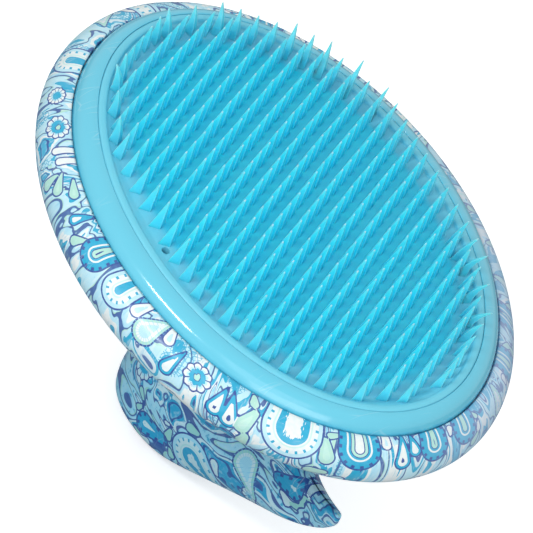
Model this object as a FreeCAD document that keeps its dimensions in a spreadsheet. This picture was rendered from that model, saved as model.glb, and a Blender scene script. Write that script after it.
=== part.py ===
import FreeCAD, Part
import math
import os

# Oval palm brush for coats: a printed dish-shaped head with a rolled rim, a glossy bezel that
# holds a soft bristle pad, and a hooked hollow grip made of two halves under the head.
# Millimetres. The long axis is X, bristles point up +Z, and the grip's heel stands on Z = 0.

doc = FreeCAD.newDocument("palm_brush")
sheet = doc.addObject("Spreadsheet::Sheet", "Sheet")

# Every driving dimension of the brush, in mm or degrees.
DIMENSIONS = {
    # rolled rim of the head, a tube of round section carried round an ellipse
    "rim_length_radius": 52.1,
    "rim_width_radius": 40.0,
    "rim_tube": 5.4,
    "rim_level": 55.75,
    # dish under the rim
    "seat_length_radius": 37.0,
    "seat_width_radius": 26.0,
    "seat_level": 48,
    "shell_wall": 2.4,
    "lip_underside": 58.1,
    "opening_length_radius": 51.3,
    "opening_width_radius": 39.6,
    "ledge_level": 59.9,
    "bezel_gap": 0.25,
    # bezel ring
    "bezel_length_radius": 52.1,
    "bezel_width_radius": 40.4,
    "bezel_edge_level": 60.4,
    "crease_length_radius": 49.0,
    "crease_width_radius": 36.1,
    "crease_level": 63.9,
    "skirt_bottom": 56.1,
    "skirt_clearance": 0.2,
    "skirt_inner_length_radius": 49.7,
    "skirt_inner_width_radius": 38.0,
    "undercut_level": 62.7,
    "hook_count": 8,
    "hook_width": 7.0,
    "hook_block_start": 28.0,
    "hook_block_length": 30.0,
    "hook_sink": 0.2,
    "hook_reach": 0.7,
    "hook_play": 0.35,
    # bristle pad
    "lip_gap": 0.2,
    "lip_length_radius": 47.2,
    "lip_width_radius": 34.1,
    "lip_level": 64.1,
    "pad_crown_level": 64.1,
    "pad_dome_radius": 430.0,
    "pad_wall": 1.7,
    "flange_top": 62.6,
    "flange_bottom": 59.7,
    "flange_clearance": 0.15,
    "bristle_pitch": 4.26,
    "bristle_row_step": 3.09,
    "bristle_shift_x": -0.72,
    "bristle_shift_y": 1.01,
    "bristle_half_length": 1.25,
    "bristle_half_width": 1.85,
    "bristle_tip_half": 0.12,
    "bristle_height": 6.3,
    "bristle_root": 0.9,
    "margin_level": 63.3,
    "margin_foot_level": 61.8,
    "margin_bottom": 60.4,
    "margin_inner_length_radius": 44.1,
    "margin_inner_width_radius": 31.9,
    "field_length_radius": 47.4,
    "field_width_radius": 33.8,
    "field_shift_x": -0.9,
    "field_shift_y": 1.1,
    "field_power": 2.2,
    "root_length_radius": 45.9,
    "root_width_radius": 32.6,
    "vent_radius": 0.8,
    "vent_depth": 10.0,
    "vent_x": 5.4,
    "vent_y": -31.0,
    # support frame under the pad
    "support_bottom": 56.8,
    "support_inner_length_radius": 42.0,
    "support_inner_width_radius": 28.5,
    "support_rib": 2.6,
    "support_rib_height": 2.0,
    # grip
    "beak_start": 36.8,
    "beak_run": 15.0,
    "beak_lift": 5.4,
    "peg_radius": 1.5,
    "peg_boss_radius": 3.2,
    "peg_boss_half": 15.0,
    "peg_length": 2.6,
    "peg_clearance": 0.1,
    # fasteners
    "screw_x_front": 13.0,
    "screw_x_rear": -7.0,
    "screw_y": 4.1,
    "screw_radius": 1.3,
    "screw_pilot_radius": 1.4,
    "screw_pilot_depth": 9.5,
    "screw_hole_radius": 1.55,
    "screw_boss_radius": 2.8,
    "screw_boss_depth": 10.5,
    "screw_boss_inset": 0.5,
    "screw_head_radius": 2.6,
    "screw_head_height": 1.8,
    "screw_length": 10.0,
    "washer_radius": 3.6,
    "washer_thickness": 0.8,
    # small allowances
    "over": 1.0,
    "seam": 0.05,
}

# The bezel's bead: share of the way from its edge to the crease, share of the climb.
BEZEL_BEAD = [(0.0, 0.0), (0.06, 0.30), (0.2, 0.60), (0.42, 0.83), (0.7, 0.965), (1.0, 1.0)]
SUPPORT_RIB_PLACES = (-22, 0, 22)
PEG_PLACES = [(-5.0, 9.0), (14.0, 17.0), (4.0, 32.0)]
OUTER_SECTION_COUNT = 40
CORE_SECTION_COUNT = 24

# Level sections of the grip from heel to head: level, rear end, front end, half width, taper.
GRIP_SECTIONS = [
    (0.0, -8.2, 1.0, 3.6, 0.0),
    (0.9, -11.4, 9.0, 7.4, 0.0),
    (3.2, -13.5, 13.5, 11.5, 0.1),
    (8.0, -14.3, 22.0, 13.4, 0.38),
    (14.0, -14.3, 31.2, 14.2, 0.5),
    (20.0, -14.1, 41.0, 12.6, 0.58),
    (22.2, -13.9, 45.0, 11.9, 0.7),
    (24.0, -13.7, 47.6, 11.0, 0.78),
    (26.2, -13.3, 49.0, 10.4, 0.78),
    (28.3, -13.0, 48.8, 9.9, 0.78),
    (29.5, -12.9, 43.6, 9.6, 0.8),
    (30.3, -12.8, 35.6, 9.4, 0.7),
    (31.4, -12.8, 27.8, 9.1, 0.5),
    (34.4, -12.7, 22.8, 8.9, 0.2),
    (39.6, -12.8, 20.8, 9.0, 0.0),
    (43.0, -15.0, 20.5, 10.4, 0.0),
    (46.4, -19.6, 23.5, 14.0, 0.0),
    (48.0, -24.0, 28.0, 17.5, 0.0),
]
# The same for the hollow inside the grip.
CORE_SECTIONS = [
    (2.6, -10.6, 7.4, 7.4, 0.1),
    (5.0, -11.3, 12.0, 9.2, 0.2),
    (8.0, -11.7, 17.0, 10.4, 0.38),
    (14.0, -11.9, 26.0, 11.0, 0.55),
    (19.0, -11.7, 33.8, 9.8, 0.66),
    (22.0, -11.4, 38.0, 9.0, 0.76),
    (24.4, -11.1, 40.0, 8.3, 0.78),
    (26.0, -10.8, 38.4, 7.9, 0.78),
    (27.1, -10.6, 33.4, 7.5, 0.72),
    (28.4, -10.4, 27.0, 7.1, 0.55),
    (30.6, -10.3, 21.8, 6.7, 0.35),
    (35.0, -10.3, 19.2, 6.4, 0.1),
    (41.0, -10.6, 18.2, 6.8, 0.0),
]
SECTION_COLUMNS = ("level", "rear", "front", "width", "taper")
OUTLINE_POINTS = 24
FRONT_BLUNTNESS = 0.4

row = 1
for alias, value in DIMENSIONS.items():
    sheet.set(f"A{row}", alias)
    sheet.set(f"B{row}", str(value))
    sheet.setAlias(f"B{row}", alias)
    row += 1
for family, sections in (("grip", GRIP_SECTIONS), ("core", CORE_SECTIONS)):
    for number, section in enumerate(sections):
        for column, value in zip(SECTION_COLUMNS, section):
            alias = f"{family}_{column}_{number:02d}"
            sheet.set(f"A{row}", alias)
            sheet.set(f"B{row}", str(value))
            sheet.setAlias(f"B{row}", alias)
            row += 1
doc.recompute()


def size(alias):
    """A driving dimension, read back from the sheet."""
    return float(getattr(sheet, alias))


def ellipse(name, length_radius, width_radius, level):
    """A level ellipse centred on the Z axis; each size is a formula on the sheet."""
    curve = doc.addObject("Part::Ellipse", name)
    curve.setExpression("MajorRadius", length_radius)
    curve.setExpression("MinorRadius", width_radius)
    curve.setExpression(".Placement.Base.z", level)
    return curve


def loft(name, stations):
    """A solid through level ellipses, from (length radius, width radius, level) formulas."""
    curves = []
    for number, station in enumerate(stations):
        curves.append(ellipse(f"{name}_section_{number}", *station))
    solid = doc.addObject("Part::Loft", name)
    solid.Sections = curves
    solid.Solid = True
    solid.Ruled = len(stations) == 2
    return solid


def prism(name, length_radius, width_radius, bottom, top):
    """An upright elliptic prism."""
    stations = [(length_radius, width_radius, bottom), (length_radius, width_radius, top)]
    return loft(name, stations)


def cylinder(name, radius, height, x, y, level):
    """An upright cylinder whose base is at (x, y, level)."""
    solid = doc.addObject("Part::Cylinder", name)
    solid.setExpression("Radius", radius)
    solid.setExpression("Height", height)
    solid.setExpression(".Placement.Base.x", x)
    solid.setExpression(".Placement.Base.y", y)
    solid.setExpression(".Placement.Base.z", level)
    return solid


def cut(name, base, tool):
    """The base with the tool taken away."""
    result = doc.addObject("Part::Cut", name)
    result.Base = base
    result.Tool = tool
    return result


def fuse(name, shapes):
    """All the shapes joined."""
    result = doc.addObject("Part::MultiFuse", name)
    result.Shapes = shapes
    return result


def on_rim(angle, inset="0"):
    """Station formulas for a point of the rim tube at an angle above its outermost line."""
    reach = f"(Sheet.rim_tube - {inset}) * cos({angle})"
    rise = f"(Sheet.rim_tube - {inset}) * sin({angle})"
    length_radius = f"Sheet.rim_length_radius + {reach}"
    width_radius = f"Sheet.rim_width_radius + {reach}"
    return length_radius, width_radius, f"Sheet.rim_level + {rise}"


SCREW_PLACES = [
    ("front_left", "Sheet.screw_x_front", "Sheet.screw_y"),
    ("front_right", "Sheet.screw_x_front", "-Sheet.screw_y"),
    ("rear_left", "Sheet.screw_x_rear", "Sheet.screw_y"),
    ("rear_right", "Sheet.screw_x_rear", "-Sheet.screw_y"),
]


def make_head_shell():
    """The printed dish: a rolled rim round a flat seat, hollow under the rim's lip."""
    roll = loft("head_roll", [on_rim(angle) for angle in (-80, -60, -40, -20, 0, 20, 40, 60, 80, 90)])
    dish = loft("head_dish", [
        ("Sheet.seat_length_radius", "Sheet.seat_width_radius", "Sheet.seat_level"), on_rim(-80),
    ])
    body = fuse("head_outside", [roll, dish])

    inner_angles = (-80, -55, -30, -5, 20, 50)
    hollow = loft("head_hollow", [on_rim(angle, "Sheet.shell_wall") for angle in inner_angles])
    floor = "Sheet.seat_level + Sheet.shell_wall"
    basin = loft("head_basin", [
        ("Sheet.seat_length_radius", "Sheet.seat_width_radius", floor), on_rim(-80, "Sheet.shell_wall"),
    ])
    opening = prism(
        "head_opening", "Sheet.opening_length_radius", "Sheet.opening_width_radius",
        "Sheet.rim_level", "Sheet.rim_level + Sheet.rim_tube + 1",
    )
    ledge = prism(
        "head_ledge", "Sheet.bezel_length_radius + Sheet.bezel_gap",
        "Sheet.bezel_width_radius + Sheet.bezel_gap",
        "Sheet.ledge_level", "Sheet.rim_level + Sheet.rim_tube + 1",
    )
    tools = [hollow, basin, opening, ledge]
    for place, x, y in SCREW_PLACES:
        tools.append(cylinder(
            f"head_hole_{place}", "Sheet.screw_hole_radius", "Sheet.shell_wall + 2",
            x, y, "Sheet.seat_level - 1",
        ))
    shell = cut("head_shell", body, fuse("head_tools", tools))
    shell.Label = "head_shell"
    return shell


def make_bezel_ring():
    """The glossy ring: a wide convex bead outside the crease, a skirt into the rim, snap hooks."""
    bead = []
    for share, climb in BEZEL_BEAD:
        bead.append((
            f"Sheet.bezel_length_radius - {share} * (Sheet.bezel_length_radius - Sheet.crease_length_radius)",
            f"Sheet.bezel_width_radius - {share} * (Sheet.bezel_width_radius - Sheet.crease_width_radius)",
            f"Sheet.bezel_edge_level + {climb} * (Sheet.crease_level - Sheet.bezel_edge_level)",
        ))
    crown = loft("bezel_crown", bead)
    edge = prism(
        "bezel_edge", "Sheet.bezel_length_radius", "Sheet.bezel_width_radius",
        "Sheet.ledge_level + Sheet.seam", "Sheet.bezel_edge_level",
    )
    skirt_length = "Sheet.opening_length_radius - Sheet.skirt_clearance"
    skirt_width = "Sheet.opening_width_radius - Sheet.skirt_clearance"
    skirt = prism("bezel_skirt", skirt_length, skirt_width, "Sheet.skirt_bottom", "Sheet.ledge_level + 2 * Sheet.seam")
    catch = loft("bezel_catch", [
        (f"{skirt_length} - Sheet.hook_sink", f"{skirt_width} - Sheet.hook_sink", "Sheet.skirt_bottom"),
        (
            f"{skirt_length} + Sheet.hook_reach", f"{skirt_width} + Sheet.hook_reach",
            "Sheet.lip_underside - Sheet.hook_play",
        ),
    ])
    hooks = []
    count = int(size("hook_count"))
    for number in range(count):
        angle = 360 / count * (number + 0.5)
        block = doc.addObject("Part::Box", f"hook_block_{number}")
        block.setExpression("Length", "Sheet.hook_block_length")
        block.setExpression("Width", "Sheet.hook_width")
        block.setExpression("Height", "Sheet.lip_underside - Sheet.skirt_bottom")
        turn = FreeCAD.Rotation(FreeCAD.Vector(0, 0, 1), angle)
        corner = turn.multVec(FreeCAD.Vector(size("hook_block_start"), -size("hook_width") / 2, 0))
        block.Placement = FreeCAD.Placement(corner, turn)
        block.setExpression(".Placement.Base.z", "Sheet.skirt_bottom")
        hooks.append(block)
    hook_common = doc.addObject("Part::MultiCommon", "bezel_hooks")
    hook_common.Shapes = [catch, fuse("hook_blocks", hooks)]
    solid = fuse("bezel_solid", [crown, edge, skirt, hook_common])
    hollow = prism(
        "bezel_hollow", "Sheet.skirt_inner_length_radius", "Sheet.skirt_inner_width_radius",
        "Sheet.skirt_bottom - Sheet.over", "Sheet.undercut_level",
    )
    mouth = prism(
        "bezel_mouth", "Sheet.crease_length_radius - Sheet.seam", "Sheet.crease_width_radius - Sheet.seam",
        "Sheet.undercut_level - Sheet.over", "Sheet.crease_level + Sheet.over",
    )
    ring = cut("bezel_ring", solid, fuse("bezel_tools", [hollow, mouth]))
    ring.Label = "bezel_ring"
    return ring


def dome_level(x, y):
    """Height of the pad's gently domed face at (x, y)."""
    radius = size("pad_dome_radius")
    return size("pad_crown_level") - radius + math.sqrt(radius ** 2 - x ** 2 - y ** 2)


def bristle_places():
    """Staggered rows of tips that fill an oval with slightly squared shoulders."""
    places = []
    rows = int(size("field_width_radius") / size("bristle_row_step")) + 2
    columns = int(size("field_length_radius") / size("bristle_pitch")) + 2
    for row_number in range(-rows, rows + 1):
        y = size("bristle_shift_y") + size("bristle_row_step") * row_number
        stagger = 0.5 * (row_number % 2)
        for column in range(-columns, columns + 1):
            x = size("bristle_shift_x") + size("bristle_pitch") * (column + stagger)
            long_share = abs(x - size("field_shift_x")) / size("field_length_radius")
            wide_share = abs(y - size("field_shift_y")) / size("field_width_radius")
            power = size("field_power")
            if long_share ** power + wide_share ** power <= 1.003:
                places.append((x, y))
    return places


def bristle(x, y):
    """One slender bristle: a tall pyramid on a diamond base, its small blunt tip at (x, y).

    Roots that would run into the lip stand back inside the oval, so those bristles lean out.
    """
    reach = math.hypot(x / size("root_length_radius"), y / size("root_width_radius"))
    back = max(reach, 1.0)
    root_x = x / back
    root_y = y / back
    face = dome_level(root_x, root_y)
    half_length = size("bristle_half_length")
    half_width = size("bristle_half_width")
    tip = size("bristle_tip_half") / half_length
    spread = 1 + (1 - tip) * size("bristle_root") / size("bristle_height")
    ends = (
        (root_x, root_y, face - size("bristle_root"), spread),
        (x, y, face + size("bristle_height"), tip),
    )
    rings = []
    for middle_x, middle_y, level, scale in ends:
        corners = [
            FreeCAD.Vector(middle_x + half_length * scale, middle_y, level),
            FreeCAD.Vector(middle_x, middle_y + half_width * scale, level),
            FreeCAD.Vector(middle_x - half_length * scale, middle_y, level),
            FreeCAD.Vector(middle_x, middle_y - half_width * scale, level),
        ]
        rings.append(Part.makePolygon(corners + corners[:1]))
    return Part.makeLoft(rings, True, True)


def make_bristle_pad():
    """The soft pad: a flange, a raised lip, a domed face and its bristles, moulded as one."""
    rim = prism(
        "pad_lip", "Sheet.crease_length_radius - Sheet.lip_gap", "Sheet.crease_width_radius - Sheet.lip_gap",
        "Sheet.flange_bottom", "Sheet.lip_level",
    )
    flange = prism(
        "pad_flange", "Sheet.skirt_inner_length_radius - Sheet.flange_clearance",
        "Sheet.skirt_inner_width_radius - Sheet.flange_clearance",
        "Sheet.flange_bottom", "Sheet.flange_top",
    )
    well = prism(
        "pad_well", "Sheet.lip_length_radius", "Sheet.lip_width_radius",
        "Sheet.flange_bottom - Sheet.over", "Sheet.lip_level + Sheet.over",
    )
    margin = prism(
        "pad_margin", "Sheet.lip_length_radius + Sheet.seam", "Sheet.lip_width_radius + Sheet.seam",
        "Sheet.margin_bottom", "Sheet.margin_level",
    )
    slope = loft("pad_slope", [
        ("Sheet.margin_inner_length_radius", "Sheet.margin_inner_width_radius", "Sheet.margin_foot_level"),
        ("Sheet.lip_length_radius", "Sheet.lip_width_radius", "Sheet.margin_level"),
    ])
    slope_foot = prism(
        "pad_slope_foot", "Sheet.margin_inner_length_radius", "Sheet.margin_inner_width_radius",
        "Sheet.margin_bottom - Sheet.over", "Sheet.margin_foot_level",
    )
    doc.recompute()
    frame = rim.Shape.fuse(flange.Shape).cut(well.Shape)
    frame = frame.fuse(margin.Shape.cut(slope.Shape.fuse(slope_foot.Shape)))

    radius = size("pad_dome_radius")
    centre = FreeCAD.Vector(0, 0, size("pad_crown_level") - radius)
    web = Part.makeSphere(radius, centre).common(well.Shape)
    web = web.cut(Part.makeSphere(radius - size("pad_wall"), centre))
    spikes = [bristle(x, y) for x, y in bristle_places()]
    body = web.multiFuse(spikes)
    body = body.fuse(frame)
    vent = Part.makeCylinder(
        size("vent_radius"), size("vent_depth"), FreeCAD.Vector(size("vent_x"), size("vent_y"), size("margin_bottom") - 2)
    )
    body = body.cut(vent)
    pad = doc.addObject("Part::Feature", "bristle_pad")
    pad.Shape = body
    pad.Label = "bristle_pad"
    return pad


def make_pad_support():
    """The stiff oval frame with cross ribs that clamps the pad's flange from below."""
    top = "Sheet.flange_bottom - Sheet.seam"
    outer = prism(
        "support_outer", "Sheet.skirt_inner_length_radius - Sheet.flange_clearance",
        "Sheet.skirt_inner_width_radius - Sheet.flange_clearance", "Sheet.support_bottom", top,
    )
    inner = prism(
        "support_inner", "Sheet.support_inner_length_radius", "Sheet.support_inner_width_radius",
        "Sheet.support_bottom - Sheet.over", "Sheet.flange_bottom + Sheet.over",
    )
    hoop = cut("support_hoop", outer, inner)
    ribs = []
    for number, offset in enumerate(SUPPORT_RIB_PLACES):
        rib = doc.addObject("Part::Box", f"support_cross_rib_{number}")
        rib.setExpression("Length", "Sheet.support_rib")
        rib.setExpression("Width", "2 * Sheet.support_inner_width_radius")
        rib.setExpression("Height", "Sheet.support_rib_height")
        rib.setExpression(".Placement.Base.x", f"{offset} - Sheet.support_rib / 2")
        rib.setExpression(".Placement.Base.y", "-Sheet.support_inner_width_radius")
        rib.setExpression(".Placement.Base.z", "Sheet.support_bottom")
        ribs.append(rib)
    spine = doc.addObject("Part::Box", "support_spine")
    spine.setExpression("Length", "2 * Sheet.support_inner_length_radius + 2 * Sheet.over")
    spine.setExpression("Width", "Sheet.support_rib")
    spine.setExpression("Height", "Sheet.support_rib_height")
    spine.setExpression(".Placement.Base.x", "-Sheet.support_inner_length_radius - Sheet.over")
    spine.setExpression(".Placement.Base.y", "-Sheet.support_rib / 2")
    spine.setExpression(".Placement.Base.z", "Sheet.support_bottom")
    bars = doc.addObject("Part::MultiCommon", "support_bars")
    bars.Shapes = [fuse("support_rib_grid", ribs + [spine]), outer]
    support = fuse("pad_support", [hoop, bars])
    support.Label = "pad_support"
    return support


def beak_rise(x):
    """How far the beak curves up towards the head at x."""
    along = max(0.0, x - size("beak_start")) / size("beak_run")
    return size("beak_lift") * along ** 2


def grip_outline(rear, front, width, taper, level):
    """A closed smooth egg outline, blunt at its narrow front end, which rises with the beak."""
    middle = (rear + front) / 2
    half = (front - rear) / 2
    points = []
    for step in range(OUTLINE_POINTS):
        angle = 2 * math.pi * step / OUTLINE_POINTS
        ahead = (1 + math.cos(angle)) / 2
        side = math.sin(angle)
        bulge = math.copysign(abs(side) ** (1 - FRONT_BLUNTNESS * ahead), side)
        reach = width * bulge * (1 - taper * ahead)
        x = middle + half * math.cos(angle)
        points.append(FreeCAD.Vector(x, reach, level + beak_rise(x)))
    curve = Part.BSplineCurve()
    curve.interpolate(points, PeriodicFlag=True)
    return Part.Wire(curve.toShape())


def read_sections(family, count):
    """One family of level sections, read back from the sheet."""
    sections = []
    for number in range(count):
        sections.append([size(f"{family}_{column}_{number:02d}") for column in SECTION_COLUMNS])
    return sections


def slopes(steps, values):
    """Slopes of a smooth curve through the values that never overshoots between two of them."""
    grades = [(values[k + 1] - values[k]) / steps[k] for k in range(len(steps))]
    result = [grades[0]]
    for k in range(1, len(steps)):
        before, after = grades[k - 1], grades[k]
        if before * after <= 0:
            result.append(0.0)
        else:
            result.append(2 * before * after / (before + after))
    result.append(grades[-1])
    return result


def even_sections(sections, count):
    """Sections spaced evenly along the front edge, each column a monotone cubic between rows."""
    steps = []
    for lower, upper in zip(sections, sections[1:]):
        steps.append(math.hypot(upper[0] - lower[0], upper[2] - lower[2]))
    columns = list(zip(*sections))
    grades = [slopes(steps, column) for column in columns]
    result = []
    for number in range(count):
        along = sum(steps) * number / (count - 1)
        k = 0
        while k < len(steps) - 1 and along > steps[k]:
            along -= steps[k]
            k += 1
        part_way = min(along / steps[k], 1.0)
        rise = part_way ** 2 * (3 - 2 * part_way)
        first = part_way * (1 - part_way) ** 2 * steps[k]
        last = part_way ** 2 * (part_way - 1) * steps[k]
        result.append([
            column[k] + rise * (column[k + 1] - column[k]) + first * grade[k] + last * grade[k + 1]
            for column, grade in zip(columns, grades)
        ])
    return result


def grip_loft(sections, count):
    """A smooth solid through the sections."""
    wires = []
    for level, rear, front, width, taper in even_sections(sections, count):
        wires.append(grip_outline(rear, front, width, taper, level))
    return Part.makeLoft(wires, True, False)


def make_grip_halves():
    """The hooked grip: a hollow lofted body split lengthwise, with pegs and screw bosses."""
    sections = read_sections("grip", len(GRIP_SECTIONS))
    top = sections[-1][0]
    outer = grip_loft(sections, OUTER_SECTION_COUNT)
    core = grip_loft(read_sections("core", len(CORE_SECTIONS)), CORE_SECTION_COUNT)
    body = outer.cut(core)

    across = FreeCAD.Vector(0, 1, 0)
    bosses = []
    for x, level in PEG_PLACES:
        start = FreeCAD.Vector(x, -size("peg_boss_half"), level)
        boss = Part.makeCylinder(size("peg_boss_radius"), 2 * size("peg_boss_half"), start, across)
        bosses.append(boss.common(outer))
    screw_spots = []
    for x in (size("screw_x_front"), size("screw_x_rear")):
        for y in (-size("screw_y"), size("screw_y")):
            screw_spots.append((x, y))
    for x, y in screw_spots:
        start = FreeCAD.Vector(x, y, top - size("screw_boss_depth"))
        boss = Part.makeCylinder(size("screw_boss_radius"), size("screw_boss_depth") - size("screw_boss_inset"), start)
        bosses.append(boss.common(outer))
    body = body.multiFuse(bosses)
    pilots = []
    for x, y in screw_spots:
        depth = size("screw_pilot_depth")
        start = FreeCAD.Vector(x, y, top - depth)
        pilots.append(Part.makeCylinder(size("screw_pilot_radius"), depth + size("over"), start))
    body = body.cut(Part.makeCompound(pilots))

    half_space = Part.makeBox(200, 100, 120, FreeCAD.Vector(-100, 0.0, -10))
    left = body.common(half_space)
    right = body.cut(half_space)
    for x, level in PEG_PLACES:
        reach = size("peg_length")
        peg = Part.makeCylinder(size("peg_radius"), reach + size("over"), FreeCAD.Vector(x, -reach, level), across)
        loose = size("peg_clearance")
        mouth = FreeCAD.Vector(x, -reach - 3 * loose, level)
        socket = Part.makeCylinder(size("peg_radius") + loose, reach + 3 * loose, mouth, across)
        left = left.fuse(peg)
        right = right.cut(socket)
    halves = []
    for name, shape in (("grip_left", left), ("grip_right", right)):
        half = doc.addObject("Part::Feature", name)
        half.Shape = shape.removeSplitter()
        half.Label = name
        halves.append(half)
    return halves


def make_fasteners():
    """Four self-tapping screws and their washers, which hold the grip to the head from inside."""
    floor = "Sheet.seat_level + Sheet.shell_wall"
    screws = []
    washers = []
    for place, x, y in SCREW_PLACES:
        seat = f"{floor} + Sheet.washer_thickness"
        shank = cylinder(
            f"screw_shank_{place}", "Sheet.screw_radius", "Sheet.screw_length",
            x, y, f"{seat} - Sheet.screw_length",
        )
        head = cylinder(f"screw_head_{place}", "Sheet.screw_head_radius", "Sheet.screw_head_height", x, y, seat)
        drive = doc.addObject("Part::Prism", f"screw_drive_{place}")
        drive.Polygon = 6
        drive.setExpression("Circumradius", "Sheet.screw_radius")
        drive.setExpression("Height", "Sheet.screw_head_height")
        drive.setExpression(".Placement.Base.x", x)
        drive.setExpression(".Placement.Base.y", y)
        drive.setExpression(".Placement.Base.z", f"{seat} + 0.5 * Sheet.screw_head_height")
        blank = fuse(f"screw_blank_{place}", [shank, head])
        screws.append(cut(f"screw_{place}", blank, drive))
        disc = cylinder(f"washer_disc_{place}", "Sheet.washer_radius", "Sheet.washer_thickness - Sheet.seam",
                        x, y, f"{floor} + 0.4 * Sheet.seam")
        hole = cylinder(f"washer_hole_{place}", "Sheet.screw_hole_radius", "Sheet.washer_thickness + Sheet.over",
                        x, y, f"{floor} - 0.5 * Sheet.over")
        washers.append(cut(f"washer_{place}", disc, hole))
    groups = []
    for name, members in (("grip_screws", screws), ("grip_washers", washers)):
        group = doc.addObject("Part::Compound", name)
        group.Links = members
        group.Label = name
        groups.append(group)
    return groups


parts = [make_head_shell(), make_bezel_ring(), make_bristle_pad(), make_pad_support()]
parts += make_grip_halves()
parts += make_fasteners()
doc.recompute()

for item in doc.Objects:
    if "Invalid" in item.State or "Error" in item.State:
        raise RuntimeError(f"{item.Label} did not rebuild: {item.State}")
os.makedirs("parts", exist_ok=True)
for part in parts:
    if part.Shape.isNull() or not part.Shape.isValid():
        raise RuntimeError(f"{part.Label} has no valid shape")
    part.Shape.exportStep(f"parts/{part.Label}.step")
    print(part.Label, len(part.Shape.Solids), round(part.Shape.Volume, 1), part.Shape.BoundBox)
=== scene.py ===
import math

import bpy
import numpy as np
from mathutils import Matrix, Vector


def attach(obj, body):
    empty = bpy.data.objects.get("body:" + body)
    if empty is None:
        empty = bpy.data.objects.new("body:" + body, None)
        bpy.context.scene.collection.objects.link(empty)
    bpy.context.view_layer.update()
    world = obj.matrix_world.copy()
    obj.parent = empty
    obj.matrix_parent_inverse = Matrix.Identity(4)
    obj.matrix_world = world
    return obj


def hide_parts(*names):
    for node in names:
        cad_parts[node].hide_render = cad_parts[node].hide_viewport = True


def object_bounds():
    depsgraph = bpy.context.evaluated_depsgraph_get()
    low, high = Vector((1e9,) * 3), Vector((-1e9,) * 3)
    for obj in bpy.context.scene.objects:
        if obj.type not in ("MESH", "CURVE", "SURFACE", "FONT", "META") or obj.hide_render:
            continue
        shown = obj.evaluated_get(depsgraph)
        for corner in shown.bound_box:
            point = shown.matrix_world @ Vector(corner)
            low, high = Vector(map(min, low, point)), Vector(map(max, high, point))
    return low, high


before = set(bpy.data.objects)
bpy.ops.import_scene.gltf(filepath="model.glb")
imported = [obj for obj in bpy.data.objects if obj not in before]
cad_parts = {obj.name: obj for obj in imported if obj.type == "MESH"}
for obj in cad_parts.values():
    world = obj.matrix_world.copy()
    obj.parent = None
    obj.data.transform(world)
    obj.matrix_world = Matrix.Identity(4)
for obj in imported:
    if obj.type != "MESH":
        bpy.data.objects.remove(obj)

# Looks of an oval palm brush: a film-printed head and hooked grip, a glossy bezel, and a soft
# pad of slender pointed bristles. Shapes are worked out in millimetres and stored in metres.

cad_low, cad_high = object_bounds()
MM = 0.001
TURN = 2 * math.pi


# ---------------------------------------------------------------- meshes

def grid_faces(rows, columns, wrap_rows=False, start=0):
    """Quads between neighbouring rows and columns; columns always run round and close up."""
    first = np.arange(rows if wrap_rows else rows - 1)[:, None]
    across = np.arange(columns)[None, :]
    onward = (across + 1) % columns
    second = (first + 1) % rows
    quads = np.stack([
        first * columns + across, second * columns + across,
        second * columns + onward, first * columns + onward,
    ], -1)
    return quads.reshape(-1, 4) + start


def fan_faces(ring_start, columns, pole, outward_first):
    """Triangles from a ring of points to one pole point."""
    across = np.arange(columns)
    onward = (across + 1) % columns
    near, far = (across, onward) if outward_first else (onward, across)
    return np.stack([ring_start + near, ring_start + far, np.full(columns, pole)], -1)


def oval_rings(profile, columns):
    """Rings of points (A cos t, B sin t, level) from rows of long radius A, wide radius B, level."""
    angles = np.linspace(0, TURN, columns, endpoint=False)
    return np.stack([
        profile[:, 0, None] * np.cos(angles), profile[:, 1, None] * np.sin(angles),
        profile[:, 2, None] + 0 * angles,
    ], -1).reshape(-1, 3)


def closed_faces(rows, columns):
    """Faces of rows of rings closed by two pole points, which come after the rings."""
    return [
        grid_faces(rows, columns)[:, ::-1],
        fan_faces(0, columns, rows * columns, False),
        fan_faces((rows - 1) * columns, columns, rows * columns + 1, True),
    ]


def make_piece(name, points_mm, faces, material, replaces=(), smooth=True, fields=None):
    """A mesh piece at the origin from an array of points and a list of face arrays.

    fields maps an attribute name to one vector for each point.
    """
    mesh = bpy.data.meshes.new(name)
    listed = [face for block in faces for face in np.asarray(block).tolist()]
    mesh.from_pydata((np.asarray(points_mm) * MM).tolist(), [], listed)
    for field, values in (fields or {}).items():
        layer = mesh.attributes.new(field, "FLOAT_VECTOR", "POINT")
        layer.data.foreach_set("vector", np.asarray(values, np.float32).ravel())
    mesh.polygons.foreach_set("use_smooth", np.full(len(mesh.polygons), smooth))
    mesh.validate()
    mesh.update()
    mesh.materials.append(material)
    piece = bpy.data.objects.new(name, mesh)
    bpy.context.scene.collection.objects.link(piece)
    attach(piece, "root")
    if replaces:
        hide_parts(*replaces)
    return piece


def round_line(corners, count):
    """Points evenly spaced by length along a line through the corners."""
    corners = np.asarray(corners, float)
    steps = np.linalg.norm(np.diff(corners, axis=0), axis=1)
    along = np.concatenate([[0], np.cumsum(steps)])
    where = np.linspace(0, along[-1], count)
    return np.stack([np.interp(where, along, corners[:, k]) for k in range(corners.shape[1])], -1)


# ---------------------------------------------------------------- film pattern

BAND_DROP, RING_DROP, FLOWER, LEAF = 0, 1, 2, 3
PETAL_MINT, PETAL_WHITE, SPEAR = 0, 1, 2
LOBE_DEPTH = 0.16
FAR_AWAY = 50.0


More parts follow.
